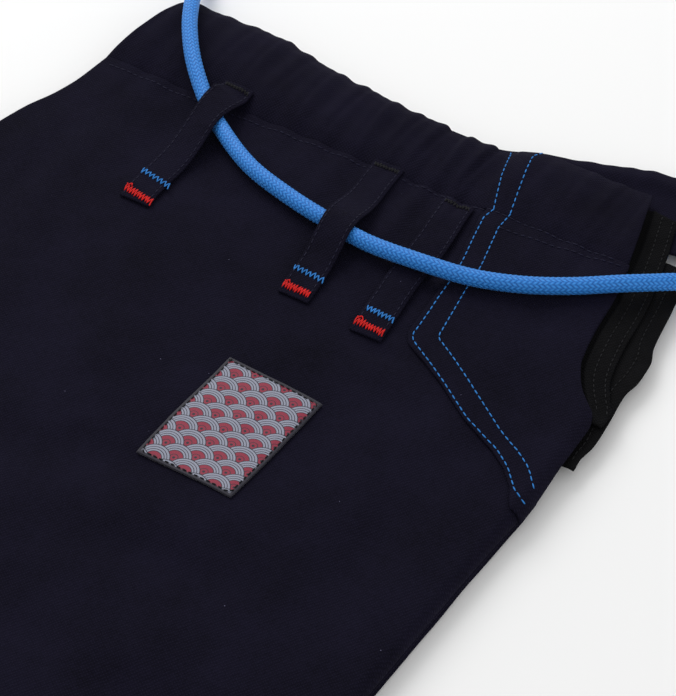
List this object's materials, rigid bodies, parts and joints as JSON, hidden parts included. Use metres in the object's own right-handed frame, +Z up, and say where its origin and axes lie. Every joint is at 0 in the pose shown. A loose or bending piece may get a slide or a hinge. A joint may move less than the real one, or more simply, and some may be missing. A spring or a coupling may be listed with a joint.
{
  "type": "jiu-jitsu gi trousers, folded",
  "caption": "Cotton gi trousers folded once lengthwise and laid flat, with a gathered casing waistband, belt loops, hip panel, side slit, thigh patch and a braided drawstring.",
  "frame": {"origin": "on the surface the garment rests on, below the middle of its outline without the drawstring", "axes": "+X across to the side slit, +Y along the garment up to the waist, +Z up from the surface"},
  "size_m": [0.4014, 1.0857, 0.0278],
  "materials": {
    "navy_cotton": "dark navy cotton twill, matt, faint diagonal rib",
    "black_cotton": "black cotton, matt, with black topstitching",
    "woven_patch": "woven crimson patch with pale grey arcs and a dark edge",
    "braided_cord": "bright blue tubular polyester braid, slight sheen"
  },
  "bodies": {
    "root": {"left_front_panel": "navy_cotton", "left_hip_panel": "navy_cotton", "front_waistband": "navy_cotton", "back_waistband": "navy_cotton", "belt_loop_inner": "navy_cotton", "belt_loop_middle": "navy_cotton", "belt_loop_outer": "navy_cotton", "hidden_layers": "navy_cotton", "slit_facing": "black_cotton", "slit_underlap": "black_cotton", "thigh_patch": "woven_patch", "drawstring": "braided_cord"}
  },
  "joints": []
}
